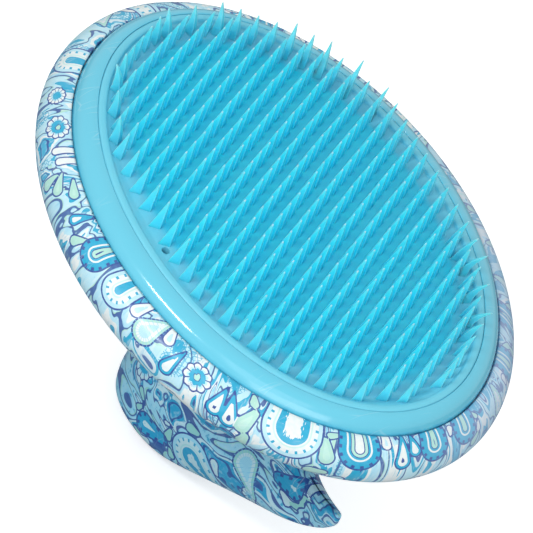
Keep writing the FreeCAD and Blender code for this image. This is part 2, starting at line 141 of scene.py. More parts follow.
def drop_field(u, v, motif):
    """Signed distance to a rounded drop and a coordinate along its border.

    The drop is the hull of two discs, of radii r_base and r_end, whose centres lie `reach`
    apart; the distance is that to the spine minus the radius met there. A flower's radius
    swings with the angle instead, by LOBE_DEPTH of its size.
    """
    _, u0, v0, r_base, r_end, reach, lean, petals = motif
    du = (u - u0 + FILM_LENGTH / 2) % FILM_LENGTH - FILM_LENGTH / 2
    dv = v - v0
    along = du * math.sin(lean) - dv * math.cos(lean)
    across = du * math.cos(lean) + dv * math.sin(lean)
    if petals:
        radius = np.hypot(along, across)
        angle = np.arctan2(across, along)
        border = angle / TURN * petals
        lobe = np.abs(np.cos(border * math.pi))
        return radius - r_base * (1 - LOBE_DEPTH + LOBE_DEPTH * lobe), border
    share = np.clip(along / max(reach, 1e-6), 0, 1)
    distance = np.hypot(along - share * reach, across) - (r_base + (r_end - r_base) * share)
    round_end = np.arctan2(across, -along) * r_base
    straight = np.sign(across) * (math.pi / 2 * r_base + along)
    return distance, np.where(along < 0, round_end, straight)


def nearest_motif(u, v, motifs):
    """For each point the distance, border coordinate and kind of the motif it is deepest in."""
    result = np.zeros((len(u), 3))
    result[:, 0] = FAR_AWAY
    for motif in motifs:
        distance, border = drop_field(u, v, motif)
        closer = distance < result[:, 0]
        result[closer, 0] = distance[closer]
        result[closer, 1] = border[closer]
        result[closer, 2] = motif[0]
    return result


def wreath(motif, rng):
    """Small petals that lean against the round end of a big drop; about a third are left out."""
    _, u0, v0, r_base, _, _, lean, _ = motif
    ring = []
    for angle in (-1.9, -1.25, -0.6, 0.6, 1.25, 1.9):
        if rng.random() < 0.3:
            continue
        size = rng.uniform(0.85, 1.35)
        out = r_base + size * 0.95
        turn = lean + angle
        place_u = u0 - math.sin(turn) * out
        place_v = v0 + math.cos(turn) * out
        choice = PETAL_MINT if rng.random() < 0.55 else PETAL_WHITE
        ring.append((choice, place_u, place_v, size, size * 0.6, size * 1.7, turn + 1.35, 0))
    return ring


def motif_fields(u, v, motifs):
    """Attributes for the print: the nearest big motif and the nearest small one."""
    big, small = motifs
    return {"big": nearest_motif(u, v, big), "small": nearest_motif(u, v, small)}


# ---------------------------------------------------------------- head

# The rim's rolled tube, the seat under the head, the mouth that holds the bezel, and its ledge.
RIM_LONG, RIM_WIDE, RIM_TUBE, RIM_LEVEL = 52.1, 40.0, 5.4, 55.75
SEAT_LONG, SEAT_WIDE, SEAT_LEVEL, WALL = 37.0, 26.0, 48.0, 2.4
OPEN_LONG, OPEN_WIDE, LEDGE_LEVEL, LIP_UNDER = 51.3, 39.6, 59.9, 58.1
LEDGE_LONG, LEDGE_WIDE = 52.35, 40.65
POLE_LONG, POLE_WIDE = 8.0, 5.0
OUTER_LONG, OUTER_WIDE = RIM_LONG + RIM_TUBE, RIM_WIDE + RIM_TUBE
DISH_ROWS, ROLL_ROWS = 40, 40
ROLL_START, ROLL_END = -80, 84


def round_rim(columns):
    """The length in mm along the oval's outer edge at each column, and the whole way round."""
    angles = np.linspace(0, TURN, columns, endpoint=False)
    fine = np.linspace(0, TURN, 7201)
    steps = np.hypot(np.diff(OUTER_LONG * np.cos(fine)), np.diff(OUTER_WIDE * np.sin(fine)))
    along = np.concatenate([[0], np.cumsum(steps)])
    return np.interp(angles, fine, along), along[-1]


FILM_LENGTH = round_rim(8)[1]


def rim_station(angle, inset=0.0):
    """Long radius, wide radius and level of the rolled rim at an angle above its outermost line."""
    tube = RIM_TUBE - inset
    reach = tube * np.cos(angle)
    return np.stack([RIM_LONG + reach, RIM_WIDE + reach, RIM_LEVEL + tube * np.sin(angle)], -1)


def head_motifs():
    """Big drops and flowers and the small petals about them, placed along the rim in mm."""
    rng = np.random.default_rng(41)
    # kind, place along the rim, place down from the bezel, radii, reach, lean, petals
    big = [
        (BAND_DROP, 298.0, 4.2, 6.4, 6.0, 9.0, 0.05, 0),
        (RING_DROP, 312.0, 4.2, 4.7, 4.3, 9.0, -0.05, 0),
        (FLOWER, 277.4, 5.4, 3.3, 3.3, 0.1, 0.2, 9),
        (RING_DROP, 245.4, 4.6, 3.8, 3.2, 9.0, 0.12, 0),
        (BAND_DROP, 254.4, 4.8, 4.0, 3.6, 8.0, 0.1, 0),
        (FLOWER, 213.2, 3.8, 3.3, 3.3, 0.1, 0.0, 10),
        (BAND_DROP, 193.4, 4.2, 4.2, 3.9, 8.0, -0.1, 0),
        (RING_DROP, 4.8, 4.0, 3.7, 3.2, 8.0, 0.1, 0),
        (LEAF, 264.0, 6.0, 3.0, 1.0, 6.0, 0.4, 0),
        (FLOWER, 204.4, 4.6, 2.6, 2.6, 0.1, 0.4, 12),
    ]
    small = [
        (SPEAR, 283.0, 8.4, 1.9, 0.15, 6.2, 0.1, 0),
        (SPEAR, 286.3, 8.8, 2.0, 0.15, 6.4, -0.22, 0),
        (PETAL_MINT, 289.0, 8.4, 1.9, 1.1, 3.8, 0.35, 0),
        (PETAL_MINT, 290.2, 13.4, 1.7, 1.1, 3.0, 0.1, 0),
        (PETAL_MINT, 289.4, 2.8, 1.3, 0.8, 1.8, -0.3, 0),
        (PETAL_MINT, 305.8, 7.4, 1.8, 1.2, 3.4, -0.3, 0),
        (PETAL_MINT, 304.2, 12.0, 1.6, 1.0, 2.6, 1.3, 0),
        (PETAL_MINT, 305.8, 2.4, 1.1, 0.8, 2.0, 1.2, 0),
        (PETAL_WHITE, 317.9, 2.6, 1.3, 1.1, 3.0, 0.0, 0),
        (SPEAR, 321.4, 6.4, 1.9, 0.3, 7.5, 0.05, 0),
        (SPEAR, 324.3, 4.2, 1.6, 0.2, 5.0, -0.1, 0),
        (PETAL_WHITE, 259.9, 4.4, 1.6, 1.0, 4.0, 0.3, 0),
        (PETAL_WHITE, 268.6, 3.4, 1.5, 0.8, 4.0, -0.2, 0),
        (SPEAR, 271.4, 8.2, 1.7, 0.3, 6.0, 0.25, 0),
        (PETAL_MINT, 225.8, 8.8, 1.4, 0.5, 3.4, -0.2, 0),
        (PETAL_MINT, 228.4, 6.6, 1.5, 0.5, 3.8, -1.0, 0),
        (PETAL_MINT, 230.8, 3.2, 1.5, 0.6, 3.6, -1.3, 0),
        (PETAL_MINT, 240.2, 7.4, 1.3, 0.6, 3.0, 0.6, 0),
        (SPEAR, 236.4, 5.4, 1.4, 0.3, 6.0, 0.2, 0),
        (PETAL_WHITE, 219.4, 5.0, 1.1, 0.9, 7.0, 0.05, 0),
        (PETAL_WHITE, 222.2, 4.6, 1.1, 0.9, 7.0, 0.05, 0),
    ]
    placed = len(big)
    kinds = (BAND_DROP, FLOWER, RING_DROP, LEAF)
    along = 14.0
    while along < 184.0:
        kind = kinds[rng.integers(4)]
        radius = rng.uniform(2.5, 3.9)
        down = rng.uniform(3.4, 5.2)
        lean = rng.uniform(-0.25, 0.25)
        if kind == FLOWER:
            big.append((kind, along, down + 1.2, radius * 0.8, radius, 0.1, lean, 9))
        elif kind == LEAF:
            big.append((kind, along, down + 2.4, radius * 0.7, 0.7, 5.5, lean * 3, 0))
        else:
            big.append((kind, along, down, radius, radius * 0.9, 8.0, lean, 0))
        along += radius * 2 + rng.uniform(3.0, 6.5)
    for down in (15.5, 23.5, 31.0):
        along = rng.uniform(0, 6)
        while along < FILM_LENGTH - 8:
            kind = kinds[rng.integers(4)]
            radius = rng.uniform(2.2, 3.4)
            petals = 9 if kind == FLOWER else 0
            place = down + rng.uniform(-1.2, 1.2)
            end = radius if kind != LEAF else 0.6
            reach = 0.1 if petals else rng.uniform(1.5, 4.5)
            big.append((kind, along, place, radius, end * 0.7, reach, rng.uniform(0, TURN), petals))
            along += radius * 2 + rng.uniform(4.0, 9.0)
    for motif in big[placed:]:
        if motif[0] in (BAND_DROP, RING_DROP):
            small += wreath(motif, rng)
    return big, small


def drum_film(u, v):
    """The film laid on a round drum as long round as the rim, so that it meets itself."""
    drum = FILM_LENGTH / TURN
    angle = u / drum
    return np.stack([drum * np.cos(angle), drum * np.sin(angle), v], -1)


def make_printed_head(material):
    """The head: a closed profile from the pole of its underside, out round the roll and back in.

    Each row of the profile has a long radius A, a wide radius B and a level, and the surface
    is (A cos t, B sin t, level) for t round the oval.
    """
    columns = 640
    lengths = round_rim(columns)[0]
    dish = np.array([
        [POLE_LONG, POLE_WIDE, SEAT_LEVEL], [SEAT_LONG - 0.6, SEAT_WIDE - 0.6, SEAT_LEVEL],
        [SEAT_LONG + 0.6, SEAT_WIDE + 0.6, SEAT_LEVEL + 0.09],
        rim_station(math.radians(ROLL_START)),
    ])
    roll = rim_station(np.radians(np.linspace(ROLL_START, ROLL_END, ROLL_ROWS)))
    mouth = round_line([
        [LEDGE_LONG + 0.05, LEDGE_WIDE + 0.02, 61.02], [LEDGE_LONG, LEDGE_WIDE, 60.7],
        [LEDGE_LONG, LEDGE_WIDE, LEDGE_LEVEL], [OPEN_LONG, OPEN_WIDE, LEDGE_LEVEL],
        [OPEN_LONG, OPEN_WIDE, LIP_UNDER], rim_station(math.radians(50), WALL),
    ], 12)
    hollow = rim_station(np.radians(np.linspace(40, ROLL_START, 10)), WALL)
    basin = round_line([
        [SEAT_LONG, SEAT_WIDE, SEAT_LEVEL + WALL], [POLE_LONG, POLE_WIDE, SEAT_LEVEL + WALL],
    ], 5)
    profile = np.concatenate([round_line(dish, DISH_ROWS)[:-1], roll, mouth, hollow, basin])
    rows = len(profile)
    steps = np.linalg.norm(np.diff(profile, axis=0), axis=1)
    along = np.concatenate([[0], np.cumsum(steps)])
    top_row = DISH_ROWS - 1 + ROLL_ROWS
    down = along[top_row] - along
    poles = np.array([[0, 0, SEAT_LEVEL], [0, 0, SEAT_LEVEL + WALL]])
    u = np.concatenate([np.tile(lengths, rows), [0, 0]])
    v = np.concatenate([np.repeat(down, columns), [down[0], down[-1]]])
    make_piece(
        "printed_head", np.concatenate([oval_rings(profile, columns), poles]),
        closed_faces(rows, columns), material, replaces=["head_shell"],
        fields={"film": drum_film(u, v), **motif_fields(u, v, head_motifs())},
    )


# ---------------------------------------------------------------- grip

# Level sections of the grip: level, rear end, front end, half width, taper.
GRIP_SECTIONS = np.array([
    (0.0, -8.2, 1.0, 3.6, 0.0), (0.9, -11.4, 9.0, 7.4, 0.0), (3.2, -13.5, 13.5, 11.5, 0.1),
    (8.0, -14.3, 22.0, 13.4, 0.38), (14.0, -14.3, 31.2, 14.2, 0.5),
    (20.0, -14.1, 41.0, 12.6, 0.58), (22.2, -13.9, 45.0, 11.9, 0.7),
    (24.0, -13.7, 47.6, 11.0, 0.78), (26.2, -13.3, 49.0, 10.4, 0.78),
    (28.3, -13.0, 48.8, 9.9, 0.78), (29.5, -12.9, 43.6, 9.6, 0.8), (30.3, -12.8, 35.6, 9.4, 0.7),
    (31.4, -12.8, 27.8, 9.1, 0.5), (34.4, -12.7, 22.8, 8.9, 0.2), (39.6, -12.8, 20.8, 9.0, 0.0),
    (43.0, -15.0, 20.5, 10.4, 0.0), (46.4, -19.6, 23.5, 14.0, 0.0),
    (48.0, -24.0, 28.0, 17.5, 0.0),
])
BEAK_START, BEAK_RUN, BEAK_LIFT = 36.8, 15.0, 5.4
FRONT_BLUNTNESS = 0.4
SEAM_HALF = 0.003
GRIP_FILM_STRETCH = (0.38, 0.5, 2.2)
SCATTERED_PETALS = 26


def smooth_sections(count):
    """The section table filled in evenly along its front edge by monotone cubics.

    A slope is the harmonic mean of the two grades beside its row, or zero where they differ
    in sign, so no column overshoots between two rows.
    """
    steps = np.hypot(np.diff(GRIP_SECTIONS[:, 0]), np.diff(GRIP_SECTIONS[:, 2]))
    grades = np.diff(GRIP_SECTIONS, axis=0) / steps[:, None]
    before, after = grades[:-1], grades[1:]
    total = np.where(before * after > 0, before + after, 1.0)
    inner = np.where(before * after > 0, 2 * before * after / total, 0.0)
    slopes = np.concatenate([grades[:1], inner, grades[-1:]])
    knots = np.concatenate([[0], np.cumsum(steps)])
    where = np.linspace(0, knots[-1], count)
    k = np.clip(np.searchsorted(knots, where, side="right") - 1, 0, len(steps) - 1)
    share = ((where - knots[k]) / steps[k])[:, None]
    gap = steps[k][:, None]
    rise = share ** 2 * (3 - 2 * share)
    start = share * (1 - share) ** 2 * gap * slopes[k]
    finish = share ** 2 * (share - 1) * gap * slopes[k + 1]
    return GRIP_SECTIONS[k] + rise * (GRIP_SECTIONS[k + 1] - GRIP_SECTIONS[k]) + start + finish


def grip_motifs():
    """Motifs on the side of the grip, placed by length from the rear and by height."""
    rng = np.random.default_rng(7)
    big = [
        (BAND_DROP, 17.5, 11.0, 5.6, 4.0, 7.0, 1.1, 0),
        (RING_DROP, 38.5, 27.6, 2.5, 1.4, 4.5, -1.2, 0),
        (FLOWER, -2.5, 16.0, 3.4, 3.4, 0.1, 0.5, 11),
        (LEAF, 27.5, 22.0, 3.0, 0.9, 6.5, 0.9, 0),
        (LEAF, -6.0, 30.0, 2.2, 0.6, 8.0, 1.5, 0),
        (RING_DROP, 5.0, 7.0, 2.6, 1.6, 5.0, 1.8, 0),
        (FLOWER, 31.5, 17.0, 2.0, 2.0, 0.1, 0.5, 8),
        (BAND_DROP, 8.0, 38.0, 3.0, 2.0, 6.0, 1.5, 0),
        (FLOWER, -12.0, 44.0, 2.6, 2.6, 0.1, 0.3, 9),
        (RING_DROP, 17.0, 44.5, 2.6, 1.4, 4.0, -1.3, 0),
        (LEAF, 9.0, 26.0, 2.2, 0.6, 7.0, 1.4, 0),
    ]
    small = []
    for motif in big:
        if motif[0] in (BAND_DROP, RING_DROP):
            small += wreath(motif, rng)
    for _ in range(SCATTERED_PETALS):
        place = (rng.uniform(-14, 44), rng.uniform(4, 46))
        size = rng.uniform(0.7, 1.2)
        kind = (PETAL_MINT, PETAL_WHITE, SPEAR)[rng.integers(3)]
        lean = rng.uniform(1.0, 2.1)
        small.append((kind, *place, size, size * 0.3, size * 3.2, lean, 0))
    return big, small


def make_grip(material):
    """Both halves of the grip.

    A section is an oval whose half width shrinks towards the front by its taper, and the
    surface rises with the square of the distance past the start of the beak.
    """
    rows, half_columns, flat_columns = 150, 76, 5
    level, rear, front, width, taper = smooth_sections(rows).T[:, :, None]
    around = np.linspace(0, math.pi, half_columns)[None, :]
    ahead = (1 + np.cos(around)) / 2
    bulge = np.abs(np.sin(around)) ** (1 - FRONT_BLUNTNESS * ahead)
    x = (rear + front) / 2 + (front - rear) / 2 * np.cos(around)
    y = np.maximum(width * bulge * (1 - taper * ahead), SEAM_HALF)
    share = np.linspace(0, 1, flat_columns + 2)[None, 1:-1]
    x = np.concatenate([x, rear + (front - rear) * share], 1)
    y = np.concatenate([y, np.full((rows, flat_columns), SEAM_HALF)], 1)
    z = level + BEAK_LIFT * (np.maximum(0, x - BEAK_START) / BEAK_RUN) ** 2
    half = np.stack([x, y, z], -1)
    middle = half[[0, -1]].mean(1)
    fields = {
        "film": (half * GRIP_FILM_STRETCH).reshape(-1, 3),
        **motif_fields(x.ravel(), z.ravel(), grip_motifs()),
    }
    for field, values in fields.items():
        fields[field] = np.concatenate([values, values[[0, -1]]])
    for name, side, node in (
        ("grip_shell_left", 1, "grip_left"), ("grip_shell_right", -1, "grip_right"),
    ):
        points = np.concatenate([half.reshape(-1, 3), middle]) * [1, side, 1]
        faces = closed_faces(rows, half_columns + flat_columns)
        if side < 0:
            faces = [block[:, ::-1] for block in faces]
        make_piece(name, points, faces, material, replaces=[node], fields=fields)


# ---------------------------------------------------------------- bezel

CREASE_LONG, CREASE_WIDE, CREASE_LEVEL = 49.0, 36.1, 63.9
BEZEL_LONG, BEZEL_WIDE, BEZEL_EDGE = 52.1, 40.4, 60.4

# Below the bead: long radius, wide radius, level, from the crease down the skirt and up again.
BEZEL_UNDERSIDE = np.array([
    [48.97, 36.07, 63.8], [48.95, 36.05, 63.5], [48.95, 36.05, 62.7], [49.7, 38.0, 62.7],
    [49.7, 38.0, 59.0], [49.7, 38.0, 56.1], [51.1, 39.4, 56.1], [51.1, 39.4, 58.0],
    [51.1, 39.4, 59.95], [52.05, 40.35, 59.95],
])


def make_bezel(material):
    """The glossy ring: a quarter-oval bead over a plain skirt, a closed profile round an oval."""
    columns = 480
    share = 1 - np.cos(np.linspace(0, math.pi / 2, 34))
    climb = np.sqrt(1 - (1 - share) ** 2)
    bead = np.stack([
        BEZEL_LONG - share * (BEZEL_LONG - CREASE_LONG),
        BEZEL_WIDE - share * (BEZEL_WIDE - CREASE_WIDE),
        BEZEL_EDGE + climb * (CREASE_LEVEL - BEZEL_EDGE),
    ], -1)
    profile = np.concatenate([bead, BEZEL_UNDERSIDE])
    faces = [grid_faces(len(profile), columns, wrap_rows=True)[:, ::-1]]
    make_piece(
        "bezel_bead", oval_rings(profile, columns), faces, material,
        replaces=["bezel_ring"],
    )


# ---------------------------------------------------------------- pad and bristles

LIP_LONG, LIP_WIDE, MARGIN_LEVEL = 47.2, 34.1, 63.3
DOME_RADIUS, CROWN_LEVEL = 430.0, 64.1
PAD_THICKNESS, FLANGE_LEVEL, FILLET_START = 1.6, 59.8, 0.935
VENT_X, VENT_Y, VENT_RADIUS, VENT_BOTTOM, VENT_TOP = 5.4, -31.0, 0.8, 60.0, 66.0

# The lip: long radius, wide radius, level, from the flange up over the lip to the face.
LIP_PROFILE = np.array([
    [49.5, 37.8, FLANGE_LEVEL], [49.5, 37.8, 62.5], [48.8, 35.95, 62.55], [48.93, 36.03, 63.0],
    [48.93, 36.03, 63.6], [48.82, 35.92, 63.85], [48.6, 35.7, 64.0], [48.35, 35.45, 64.08],
    [48.0, 35.0, 64.1], [47.7, 34.6, 64.08], [47.45, 34.35, 63.98], [47.28, 34.18, 63.7],
    [LIP_LONG, LIP_WIDE, MARGIN_LEVEL],
])

# The bristles: the oval of their roots, the oval of their tips, their spacing and their shape.
FIELD_LONG, FIELD_WIDE = 45.9, 32.6
PLAN_LONG, PLAN_WIDE, PLAN_X, PLAN_Y, PLAN_POWER, PLAN_LIMIT = 47.4, 33.8, -0.9, 1.1, 2.2, 1.003
PITCH, ROW_STEP, SHIFT_X, SHIFT_Y = 4.26, 3.09, -0.72, 1.01
BRISTLE_LONG, BRISTLE_WIDE, BRISTLE_HEIGHT, TIP_HALF = 1.25, 1.85, 6.3, 0.12
BRISTLE_LEVELS = np.array([-0.9, 0.0, 0.5, 2.2, 4.0, 5.4, 6.1, BRISTLE_HEIGHT])
ROOT_FLARE, TIP_PINCH, LEAN_SPREAD, HEIGHT_SPREAD, TOP_CLEARANCE = 1.05, 0.75, 0.10, 0.03, 0.01

# Bristles at the far edge that stand a little longer or bent: place, lean of the tip, extra height.
STRAY_BRISTLES = [
    ((-39.06, 19.55), (-0.6, 0.5), 0.8),
    ((-28.41, 28.82), (0.1, 0.5), 1.0),
    ((-36.93, 22.64), (0.1, 0.0), 0.2),
    ((-30.54, 25.73), (0.0, 0.2), 0.3),
]


def dome(x, y):
    """Level of the gently domed face: a ball cap of the dome's radius under the crown."""
    return CROWN_LEVEL - DOME_RADIUS + np.sqrt(DOME_RADIUS ** 2 - x ** 2 - y ** 2)


def make_pad(material):
    """The pad's face, raised lip and flange: a closed profile round an oval with a domed middle.

    The face is the lip's oval times shares that fall to the middle, at the dome's level; a
    smooth step over the outermost shares brings it to the margin's level at the lip. The
    underside is the same face in fewer rows, one thickness lower.
    """
    columns = 420
    angles = np.linspace(0, TURN, columns, endpoint=False)
    shares = np.concatenate([np.linspace(1.0, 0.93, 15), np.linspace(0.915, 0.04, 54)])
    ramp = np.clip((shares - FILLET_START) / (1 - FILLET_START), 0, 1)
    fillet = ramp ** 2 * (3 - 2 * ramp)
    inward = np.concatenate([shares, shares[::-6], [1.0]])
    x = np.concatenate([LIP_PROFILE[:, 0], LIP_LONG * inward])[:, None] * np.cos(angles)
    y = np.concatenate([LIP_PROFILE[:, 1], LIP_WIDE * inward])[:, None] * np.sin(angles)
    z = dome(x, y)
    first, last = len(LIP_PROFILE), len(LIP_PROFILE) + len(shares)
    z[:first] = LIP_PROFILE[:, 2, None]
    z[first:last] += fillet[:, None] * (MARGIN_LEVEL - z[first])
    z[last:] -= PAD_THICKNESS
    z[-1] = FLANGE_LEVEL
    rows = len(z)
    points = np.stack([x, y, z], -1).reshape(-1, 3)
    crown = dome(0.0, 0.0)
    poles = np.array([[0, 0, crown], [0, 0, crown - PAD_THICKNESS]])
    across = np.arange(columns)
    onward = (across + 1) % columns
    end = (rows - 1) * columns
    faces = [
        grid_faces(last, columns)[:, ::-1],
        fan_faces((last - 1) * columns, columns, rows * columns, True),
        grid_faces(rows - last, columns, start=last * columns)[:, ::-1],
        fan_faces(last * columns, columns, rows * columns + 1, False),
        np.stack([end + onward, onward, across, end + across], -1),
    ]
    pad = make_piece("pad_face", np.concatenate([points, poles]), faces, material)
    drill_vent(pad)


def drill_vent(pad):
    """Takes a small round vent out of the pad with a boolean cut."""
    columns = 28
    profile = np.array([
        [VENT_RADIUS, VENT_RADIUS, VENT_BOTTOM], [VENT_RADIUS, VENT_RADIUS, VENT_TOP],
    ])
    points = (oval_rings(profile, columns) + (VENT_X, VENT_Y, 0)) * MM
    sides = grid_faces(2, columns)[:, ::-1].tolist()
    caps = [list(range(columns))[::-1], list(range(columns, 2 * columns))]
    mesh = bpy.data.meshes.new("vent_cutter")
    mesh.from_pydata(points.tolist(), [], sides + caps)
    cutter = bpy.data.objects.new("vent_cutter", mesh)
    bpy.context.scene.collection.objects.link(cutter)
    drill = pad.modifiers.new("vent", "BOOLEAN")
    drill.operation = "DIFFERENCE"
    drill.solver = "EXACT"
    drill.object = cutter
    depsgraph = bpy.context.evaluated_depsgraph_get()
    drilled = bpy.data.meshes.new_from_object(pad.evaluated_get(depsgraph), depsgraph=depsgraph)
    pad.modifiers.clear()
    pad.data = drilled
    bpy.data.objects.remove(cutter)


def bristle_places():
    """Places of the tips: staggered rows that fill an oval with slightly squared shoulders."""
    rows = int(PLAN_WIDE / ROW_STEP) + 2
    spots = int(PLAN_LONG / PITCH) + 2
    row, spot = np.mgrid[-rows:rows + 1, -spots:spots + 1]
    y = SHIFT_Y + ROW_STEP * row
    x = SHIFT_X + PITCH * (spot + 0.5 * (row % 2))
    long_share = np.abs((x - PLAN_X) / PLAN_LONG)
    wide_share = np.abs((y - PLAN_Y) / PLAN_WIDE)
    kept = long_share ** PLAN_POWER + wide_share ** PLAN_POWER <= PLAN_LIMIT
    return np.stack([x[kept], y[kept]], -1)


def make_bristles(material):
    """All the bristles: tall pyramids on diamond bases, each leaning by the square of its height.

    Corner k of the ring at height h stands at the centre plus the diamond's corner times a
    scale that falls in a straight line from 1 at the face to the blunt tip.
    """
    rng = np.random.default_rng(19)
    tips = bristle_places()
    count = len(tips)
    reach = np.hypot(tips[:, 0] / FIELD_LONG, tips[:, 1] / FIELD_WIDE)
    centres = tips / np.maximum(reach, 1.0)[:, None]
    scale = 1 - (1 - TIP_HALF / BRISTLE_LONG) * BRISTLE_LEVELS / BRISTLE_HEIGHT
    scale[:2] *= ROOT_FLARE
    scale[-1] *= TIP_PINCH
    lean = rng.normal(0, LEAN_SPREAD, (count, 2))
    grow = rng.normal(0, HEIGHT_SPREAD, count)
    lean += tips - centres
    for place, push, extra in STRAY_BRISTLES:
        nearest = np.argmin(((tips - place) ** 2).sum(1))
        lean[nearest] += push
        grow[nearest] = extra
    corners = np.array([
        [BRISTLE_LONG, 0], [0, BRISTLE_WIDE], [-BRISTLE_LONG, 0], [0, -BRISTLE_WIDE],
    ])
    share = np.clip(BRISTLE_LEVELS / BRISTLE_HEIGHT, 0, 1)
    flat = (
        centres[:, None, None, :] + corners[None, None] * scale[None, :, None, None]
        + lean[:, None, None, :] * (share ** 2)[None, :, None, None]
    )
    level = dome(centres[:, 0], centres[:, 1])[:, None] + BRISTLE_LEVELS[None, :]
    highest = cad_high[2] / MM - TOP_CLEARANCE
    level = np.minimum(level + grow[:, None] * share[None, :], highest)
    ring = np.broadcast_to(level[:, :, None, None], flat.shape[:3] + (1,))
    points = np.concatenate([flat, ring], -1)
    levels = len(BRISTLE_LEVELS)
    each = levels * 4
    base = (np.arange(count) * each)[:, None, None]
    row = (np.arange(levels - 1) * 4)[None, :, None]
    side = np.arange(4)[None, None, :]
    onward = (side + 1) % 4
    quads = np.stack([
        base + row + side, base + row + onward, base + row + 4 + onward, base + row + 4 + side,
    ], -1).reshape(-1, 4)
    top = base[:, 0] + each - 4 + side[0]
    bottom = base[:, 0] + side[0, :, ::-1]
    tone = np.repeat(rng.random(count), each)
    up = np.tile(np.repeat(share, 4), count)
    fields = {"bristle": np.stack([up, tone, np.repeat(reach, each)], -1)}
    piece = make_piece(
        "bristles", points.reshape(-1, 3), [quads, top, bottom], material,
        replaces=["bristle_pad"], smooth=False, fields=fields,
    )
    # a map of each side face: across from edge to edge, and up; the end caps sit at its top
    side_map = np.stack([np.tile([0.0, 1.0, 1.0, 0.0], len(quads)), up[quads.ravel()]], -1)
    cap_map = np.tile([0.5, 1.0], (8 * count, 1))
    layer = piece.data.uv_layers.new(name="faces")
    layer.data.foreach_set("uv", np.concatenate([side_map, cap_map]).astype(np.float32).ravel())


# ---------------------------------------------------------------- materials

class Nodes:
    """A node tree being built: each method adds one node and returns its output."""

    def __init__(self, tree):
        self.tree = tree

    def add(self, kind, **settings):
        node = self.tree.nodes.new(kind)
        for key, value in settings.items():
            setattr(node, key, value)
        return node

    def feed(self, socket, value):
        """Links a socket to an output, or sets its own value; one number fills a whole vector."""
        if isinstance(value, bpy.types.NodeSocket):
            self.tree.links.new(value, socket)
        elif value is not None:
            if hasattr(socket.default_value, "__len__") and not hasattr(value, "__len__"):
                value = [value] * len(socket.default_value)
            if hasattr(value, "__len__") and len(value) < len(socket.default_value):
                value = tuple(value) + (1.0,)
            socket.default_value = value

    def math(self, operation, a, b=None, c=None):
        node = self.add("ShaderNodeMath", operation=operation)
        for socket, value in zip(node.inputs, (a, b, c)):
            self.feed(socket, value)
        return node.outputs[0]

    def vector(self, operation, a, b):
        node = self.add("ShaderNodeVectorMath", operation=operation)
        for socket, value in zip(node.inputs, (a, b)):
            self.feed(socket, value)
        return node.outputs[0]

    def mix(self, share, a, b, blend="MIX"):
        node = self.add("ShaderNodeMix", data_type="RGBA", blend_type=blend)
        self.feed(node.inputs["Factor"], share)
        self.feed(node.inputs[6], a)
        self.feed(node.inputs[7], b)
        return node.outputs[2]

    def span(self, value, low, high, to_low=0.0, to_high=1.0):
        node = self.add("ShaderNodeMapRange", interpolation_type="SMOOTHSTEP")
        for socket, number in zip(node.inputs, (value, low, high, to_low, to_high)):
            self.feed(socket, number)
        return node.outputs[0]

    def ramp(self, value, stops, interpolation="LINEAR"):
        node = self.add("ShaderNodeValToRGB")
        node.color_ramp.interpolation = interpolation
        points = node.color_ramp.elements
        while len(points) < len(stops):
            points.new(0.5)
        for point, (place, colour) in zip(points, stops):
            point.position = place
            point.color = (*colour, 1.0)
        self.feed(node.inputs[0], value)
        return node.outputs[0]

    def noise(self, where, scale, detail=2.0, distortion=0.0, output=0):
        node = self.add("ShaderNodeTexNoise")
        self.feed(node.inputs["Vector"], where)
        self.feed(node.inputs["Scale"], scale)
        self.feed(node.inputs["Detail"], detail)
        self.feed(node.inputs["Distortion"], distortion)
        return node.outputs[output]

    def cell_edge(self, where, scale):
        node = self.add("ShaderNodeTexVoronoi", feature="DISTANCE_TO_EDGE")
        self.feed(node.inputs["Vector"], where)
        self.feed(node.inputs["Scale"], scale)
        return node.outputs["Distance"]

    def object_coordinates(self):
        return self.add("ShaderNodeTexCoord").outputs["Object"]

    def attribute(self, name):
        return self.add("ShaderNodeAttribute", attribute_name=name).outputs["Vector"]

    def parts(self, vector):
        node = self.add("ShaderNodeSeparateXYZ")
        self.feed(node.inputs[0], vector)
        return node.outputs

    def bump(self, height, distance):
        node = self.add("ShaderNodeBump")
        self.feed(node.inputs["Height"], height)
        self.feed(node.inputs["Distance"], distance)
        return node.outputs[0]

    def both(self, a, b):
        """The product of two values or masks."""
        return self.math("MULTIPLY", a, b)

    def from_middle(self, value):
        """How far a value is from one half."""
        return self.math("ABSOLUTE", self.math("SUBTRACT", value, 0.5))

    def place(self, group, **values):
        node = self.add("ShaderNodeGroup")
        node.node_tree = group
        for key, value in values.items():
            self.feed(node.inputs[key.replace("_", " ")], value)
        return node.outputs


def new_group(name, inputs, outputs):
    """A shader node group with named sockets; returns its tree, builder, inputs and outputs."""
    tree = bpy.data.node_groups.new(name, "ShaderNodeTree")
    for socket, (kind, value) in inputs.items():
        made = tree.interface.new_socket(
            name=socket, in_out="INPUT", socket_type=f"NodeSocket{kind}")
        if value is not None:
            made.default_value = value
    for socket, kind in outputs.items():
        tree.interface.new_socket(name=socket, in_out="OUTPUT", socket_type=f"NodeSocket{kind}")
    build = Nodes(tree)
    return tree, build, build.add("NodeGroupInput").outputs, build.add("NodeGroupOutput").inputs


